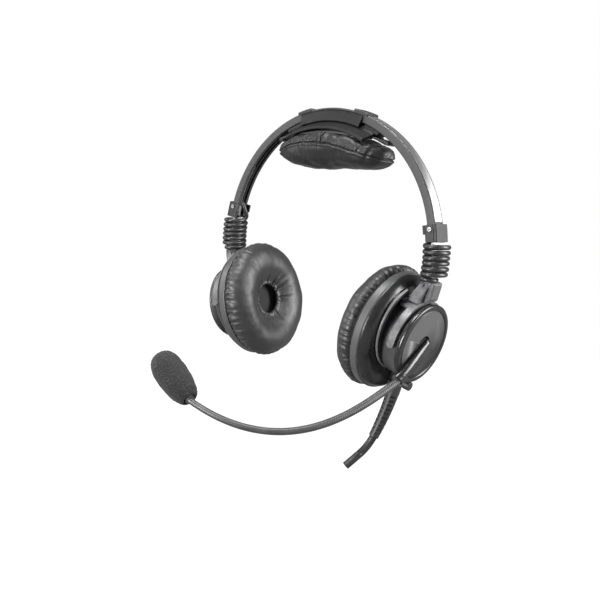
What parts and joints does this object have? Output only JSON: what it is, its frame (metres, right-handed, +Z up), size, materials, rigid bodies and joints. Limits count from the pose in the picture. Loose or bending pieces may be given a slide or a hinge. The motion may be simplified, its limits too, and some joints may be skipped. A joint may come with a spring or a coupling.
{
  "type": "headset microphone",
  "caption": "Over-ear communication headset with sprung headband, padded cups on sliding swivelling forks, coiled link cords and a rotating flexible boom microphone.",
  "frame": {"origin": "centre of the bounding box at rest; the point midway between the two ear-cup flange centres is at (0, 45.56, -23.79) mm", "axes": "+Z up to the crown, +X to the wearer's left (the boom side), -Y to the wearer's front"},
  "size_m": [0.2034, 0.1802, 0.2429],
  "materials": {
    "matte_dark_plastic": "fine moulded texture",
    "brushed_trim": "brushed satin",
    "steel": "satin",
    "cord_rubber": "satin jacket",
    "leatherette": "soft sheen, fine grain",
    "speaker_cloth": "woven, matt",
    "grey_plastic": "satin moulded",
    "gloss_black": "semi-gloss",
    "disc_grey": "satin turned",
    "driver_parts": "matt",
    "magnet": "plated",
    "film": "thin film",
    "circuit_green": "solder mask",
    "gooseneck_black": "ribbed satin",
    "capsule_metal": "satin",
    "foam": "open-cell foam"
  },
  "bodies": {
    "headband": {"headband_channel": "matte_dark_plastic", "band_trim": "brushed_trim", "end_clamps": "matte_dark_plastic", "clamp_screws": "steel", "link_cable": "cord_rubber", "crown_cover": "matte_dark_plastic", "band_clips": "matte_dark_plastic", "pad_saddle": "matte_dark_plastic", "carrier_strap": "steel", "pad_plate": "matte_dark_plastic", "head_pad": "leatherette", "coil_cord_left": "cord_rubber", "coil_cord_right": "cord_rubber"},
    "slider_left": {"slider_left": "steel", "slider_washer_left": "steel"},
    "fork_left": {"fork_left": "grey_plastic", "hub_cap_left": "grey_plastic"},
    "cup_left": {"fork_pins_left": "steel", "ear_cushion_left": "leatherette", "ear_cloth_left": "speaker_cloth", "baffle_left": "grey_plastic", "baffle_screws_left": "steel", "cup_shell_left": "gloss_black", "drum_left": "gloss_black", "driver_frame_left": "driver_parts", "driver_magnet_left": "magnet", "diaphragm_left": "film", "circuit_board": "circuit_green", "boom_stop": "disc_grey", "strain_relief": "cord_rubber", "main_cable": "cord_rubber"},
    "slider_right": {"slider_right": "steel", "slider_washer_right": "steel"},
    "fork_right": {"fork_right": "grey_plastic", "hub_cap_right": "grey_plastic"},
    "cup_right": {"fork_pins_right": "steel", "ear_cushion_right": "leatherette", "ear_cloth_right": "speaker_cloth", "baffle_right": "grey_plastic", "baffle_screws_right": "steel", "cup_shell_right": "gloss_black", "drum_right": "gloss_black", "driver_frame_right": "driver_parts", "driver_magnet_right": "magnet", "diaphragm_right": "film", "outer_cover_right": "disc_grey"},
    "boom": {"boom_disc": "disc_grey", "boom_arm": "gloss_black", "boom_axle": "steel", "spring_washer": "steel", "boom_retainer": "steel", "gooseneck_base": "gooseneck_black"},
    "gooseneck": {"gooseneck_middle": "gooseneck_black"},
    "microphone": {"gooseneck_tip": "gooseneck_black", "mic_housing": "gooseneck_black", "mic_capsule": "capsule_metal", "windscreen": "foam"}
  },
  "joints": [
    {"name": "slider_left_extend", "type": "hinge", "parent": "headband", "child": "slider_left", "pos_m": [0, 0.04556, 0.02561], "axis": [0, 1, 0], "range_deg": [0, 18], "deforming": ["coil_cord_left"]},
    {"name": "fork_left_swivel", "type": "hinge", "parent": "slider_left", "child": "fork_left", "pos_m": [0.09065, 0.04556, 0.00479], "axis": [0.2164, 0, 0.9763], "range_deg": [-25, 35]},
    {"name": "cup_left_tilt", "type": "hinge", "parent": "fork_left", "child": "cup_left", "pos_m": [0.08329, 0.04556, -0.0284], "axis": [-0.0221, 0.9997, 0.0049], "range_deg": [-3, 5]},
    {"name": "slider_right_extend", "type": "hinge", "parent": "headband", "child": "slider_right", "pos_m": [0, 0.04556, 0.02561], "axis": [0, -1, 0], "range_deg": [0, 18], "deforming": ["coil_cord_right"]},
    {"name": "fork_right_swivel", "type": "hinge", "parent": "slider_right", "child": "fork_right", "pos_m": [-0.09065, 0.04556, 0.00479], "axis": [-0.2164, 0, 0.9763], "range_deg": [-35, 25]},
    {"name": "cup_right_tilt", "type": "hinge", "parent": "fork_right", "child": "cup_right", "pos_m": [-0.08329, 0.04556, -0.0284], "axis": [0.1037, -0.9943, 0.023], "range_deg": [-3, 5]},
    {"name": "boom_rotate", "type": "hinge", "parent": "cup_left", "child": "boom", "pos_m": [0.08788, 0.04567, -0.02942], "axis": [-0.976, -0.0227, 0.2164], "range_deg": [-15, 85]},
    {"name": "gooseneck_bend", "type": "hinge", "parent": "boom", "child": "gooseneck", "pos_m": [0.08304, -0.00931, -0.0671], "axis": [-0.1058, -0.3768, 0.9202], "range_deg": [-20, 20]},
    {"name": "mic_bend", "type": "hinge", "parent": "gooseneck", "child": "microphone", "pos_m": [0.05369, -0.05719, -0.08098], "axis": [-0.6594, 0.7517, 0], "range_deg": [-20, 20]}
  ]
}
